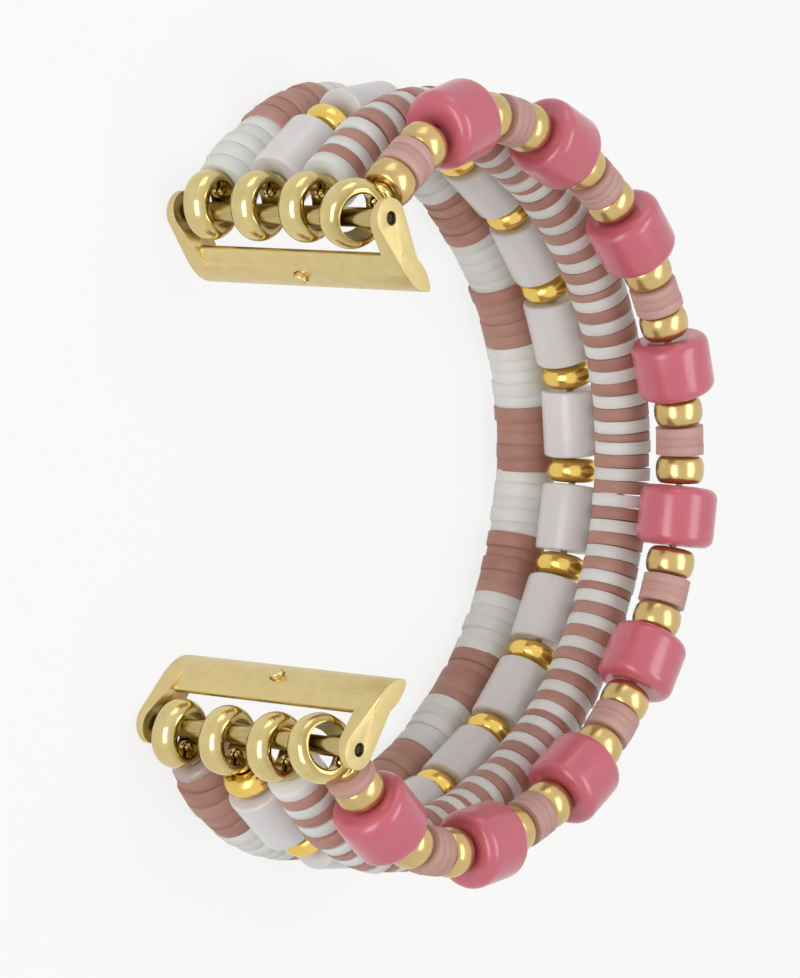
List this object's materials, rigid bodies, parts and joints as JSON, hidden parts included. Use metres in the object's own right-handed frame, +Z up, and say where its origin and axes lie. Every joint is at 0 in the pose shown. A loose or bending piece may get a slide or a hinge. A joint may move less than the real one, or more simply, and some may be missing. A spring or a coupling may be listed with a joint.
{
  "type": "bead watch band",
  "caption": "Elastic bead watch band: parallel strands of round, barrel and disc beads strung between gold rings on spring bars in slide-in adapters.",
  "frame": {"origin": "on the floor under the middle of the band, which lies on its side as a closed loop", "axes": "+X from the twelve o'clock end to the six o'clock end, +Y from the watch to the back of the wrist, +Z up across the strands, from strand 1 to the pink strand"},
  "size_m": [0.0758, 0.0579, 0.0263],
  "materials": {
    "rose_clay": "satin",
    "white_clay": "satin",
    "white_tube": "glossy",
    "deep_gold": "polished",
    "pale_gold": "polished",
    "dusty_clay": "satin",
    "pink_bead": "glossy",
    "clear_bead": "clear",
    "clear_elastic": "clear",
    "ring_gold": "polished",
    "adapter_gold": "satin",
    "bar_steel": "brushed",
    "spring_steel": "plain"
  },
  "bodies": {
    "band_back": {"back_strand_1_rose_discs": "rose_clay", "back_strand_1_white_discs": "white_clay", "back_strand_2_white_tubes": "white_tube", "back_strand_2_gold_rondelles": "deep_gold", "back_strand_3_rose_discs": "rose_clay", "back_strand_3_white_discs": "white_clay", "back_strand_4_gold_spacers": "pale_gold", "back_strand_4_dusty_discs": "dusty_clay", "back_elastic_cords": "clear_elastic"},
    "band_upper": {"upper_strand_1_rose_discs": "rose_clay", "upper_strand_1_white_discs": "white_clay", "upper_strand_2_white_tubes": "white_tube", "upper_strand_2_gold_rondelles": "deep_gold", "upper_strand_3_rose_discs": "rose_clay", "upper_strand_3_white_discs": "white_clay", "upper_strand_4_gold_spacers": "pale_gold", "upper_strand_4_dusty_discs": "dusty_clay", "upper_elastic_cords": "clear_elastic", "upper_ring_1": "ring_gold", "upper_ring_2": "ring_gold", "upper_ring_3": "ring_gold", "upper_ring_4": "ring_gold"},
    "band_lower": {"lower_strand_1_rose_discs": "rose_clay", "lower_strand_1_white_discs": "white_clay", "lower_strand_2_white_tubes": "white_tube", "lower_strand_2_gold_rondelles": "deep_gold", "lower_strand_3_rose_discs": "rose_clay", "lower_strand_3_white_discs": "white_clay", "lower_strand_4_gold_spacers": "pale_gold", "lower_strand_4_dusty_discs": "dusty_clay", "lower_elastic_cords": "clear_elastic", "lower_ring_1": "ring_gold", "lower_ring_2": "ring_gold", "lower_ring_3": "ring_gold", "lower_ring_4": "ring_gold", "clear_end_bead": "clear_bead"},
    "upper_adapter_rail": {"upper_adapter": "adapter_gold", "upper_latch_spring": "spring_steel"},
    "upper_spring_bar": {"upper_bar_tube": "bar_steel", "upper_bar_spring": "spring_steel"},
    "upper_plunger_a": {"upper_bar_plunger_a": "bar_steel"},
    "upper_plunger_b": {"upper_bar_plunger_b": "bar_steel"},
    "upper_latch": {"upper_latch_button": "adapter_gold"},
    "lower_adapter_rail": {"lower_adapter": "adapter_gold", "lower_latch_spring": "spring_steel"},
    "lower_spring_bar": {"lower_bar_tube": "bar_steel", "lower_bar_spring": "spring_steel"},
    "lower_plunger_a": {"lower_bar_plunger_a": "bar_steel"},
    "lower_plunger_b": {"lower_bar_plunger_b": "bar_steel"},
    "lower_latch": {"lower_latch_button": "adapter_gold"},
    "pink_1": {"pink_bead_1": "pink_bead"},
    "pink_2": {"pink_bead_2": "pink_bead"},
    "pink_3": {"pink_bead_3": "pink_bead"},
    "pink_4": {"pink_bead_4": "pink_bead"},
    "pink_5": {"pink_bead_5": "pink_bead"},
    "pink_6": {"pink_bead_6": "pink_bead"},
    "pink_7": {"pink_bead_7": "pink_bead"},
    "pink_8": {"pink_bead_8": "pink_bead"},
    "pink_9": {"pink_bead_9": "pink_bead"}
  },
  "joints": [
    {"name": "upper_bend", "type": "hinge", "parent": "band_back", "child": "band_upper", "pos_m": [-0.02257, 0.02055, 0], "axis": [0, 0, 1], "range_deg": [-25, 0], "stiffness_Nm_per_rad": 0.05, "springref_deg": 17.19},
    {"name": "upper_adapter_pivot", "type": "hinge", "parent": "band_upper", "child": "upper_adapter_rail", "pos_m": [-0.02406, -0.02607, 0.0131], "axis": [0, 0, 1], "range_deg": [-60, 12]},
    {"name": "upper_bar_spin", "type": "hinge", "parent": "upper_adapter_rail", "child": "upper_spring_bar", "pos_m": [-0.02406, -0.02607, 0.0131], "axis": [0, 0, 1], "continuous": true},
    {"name": "upper_plunger_a_press", "type": "slide", "parent": "upper_spring_bar", "child": "upper_plunger_a", "axis": [0, 0, 1], "range_m": [0, 0.00105], "stiffness_N_per_m": 1000, "springref_m": -0.001, "deforming": ["upper_bar_spring"]},
    {"name": "upper_plunger_b_press", "type": "slide", "parent": "upper_spring_bar", "child": "upper_plunger_b", "axis": [0, 0, -1], "range_m": [0, 0.00105], "stiffness_N_per_m": 1000, "springref_m": -0.001, "deforming": ["upper_bar_spring"]},
    {"name": "upper_latch_press", "type": "slide", "parent": "upper_adapter_rail", "child": "upper_latch", "axis": [-0.809, 0.5878, 0], "range_m": [0, 0.00045], "stiffness_N_per_m": 400, "springref_m": -0.001},
    {"name": "lower_bend", "type": "hinge", "parent": "band_back", "child": "band_lower", "pos_m": [0.02622, 0.01713, 0], "axis": [0, 0, 1], "range_deg": [0, 25], "stiffness_Nm_per_rad": 0.05, "springref_deg": -17.19},
    {"name": "lower_adapter_pivot", "type": "hinge", "parent": "band_lower", "child": "lower_adapter_rail", "pos_m": [0.02374, -0.02607, 0.0131], "axis": [0, 0, 1], "range_deg": [-12, 60]},
    {"name": "lower_bar_spin", "type": "hinge", "parent": "lower_adapter_rail", "child": "lower_spring_bar", "pos_m": [0.02374, -0.02607, 0.0131], "axis": [0, 0, 1], "continuous": true},
    {"name": "lower_plunger_a_press", "type": "slide", "parent": "lower_spring_bar", "child": "lower_plunger_a", "axis": [0, 0, 1], "range_m": [0, 0.00105], "stiffness_N_per_m": 1000, "springref_m": -0.001, "deforming": ["lower_bar_spring"]},
    {"name": "lower_plunger_b_press", "type": "slide", "parent": "lower_spring_bar", "child": "lower_plunger_b", "axis": [0, 0, -1], "range_m": [0, 0.00105], "stiffness_N_per_m": 1000, "springref_m": -0.001, "deforming": ["lower_bar_spring"]},
    {"name": "lower_latch_press", "type": "slide", "parent": "lower_adapter_rail", "child": "lower_latch", "axis": [0.809, 0.5878, 0], "range_m": [0, 0.00045], "stiffness_N_per_m": 400, "springref_m": -0.001},
    {"name": "pink_bead_1_spin", "type": "hinge", "parent": "band_upper", "child": "pink_1", "pos_m": [-0.03339, -0.01359, 0.0223], "axis": [-0.343, 0.9393, 0], "continuous": true},
    {"name": "pink_bead_2_spin", "type": "hinge", "parent": "band_upper", "child": "pink_2", "pos_m": [-0.03265, 0.0017, 0.0223], "axis": [0.3244, 0.9459, 0], "continuous": true},
    {"name": "pink_bead_3_spin", "type": "hinge", "parent": "band_upper", "child": "pink_3", "pos_m": [-0.02488, 0.01439, 0.0223], "axis": [0.6941, 0.7199, 0], "continuous": true},
    {"name": "pink_bead_4_spin", "type": "hinge", "parent": "band_back", "child": "pink_4", "pos_m": [-0.01248, 0.02261, 0.0223], "axis": [0.9335, 0.3586, 0], "continuous": true},
    {"name": "pink_bead_5_spin", "type": "hinge", "parent": "band_back", "child": "pink_5", "pos_m": [0.00224, 0.02482, 0.0223], "axis": [0.9975, -0.07, 0], "continuous": true},
    {"name": "pink_bead_6_spin", "type": "hinge", "parent": "band_back", "child": "pink_6", "pos_m": [0.01651, 0.02058, 0.0223], "axis": [0.8743, -0.4854, 0], "continuous": true},
    {"name": "pink_bead_7_spin", "type": "hinge", "parent": "band_lower", "child": "pink_7", "pos_m": [0.02765, 0.01071, 0.0223], "axis": [0.5868, -0.8097, 0], "continuous": true},
    {"name": "pink_bead_8_spin", "type": "hinge", "parent": "band_lower", "child": "pink_8", "pos_m": [0.03356, -0.00295, 0.0223], "axis": [0.1892, -0.9819, 0], "continuous": true},
    {"name": "pink_bead_9_spin", "type": "hinge", "parent": "band_lower", "child": "pink_9", "pos_m": [0.03055, -0.01815, 0.0223], "axis": [-0.6113, -0.7914, 0], "continuous": true}
  ]
}
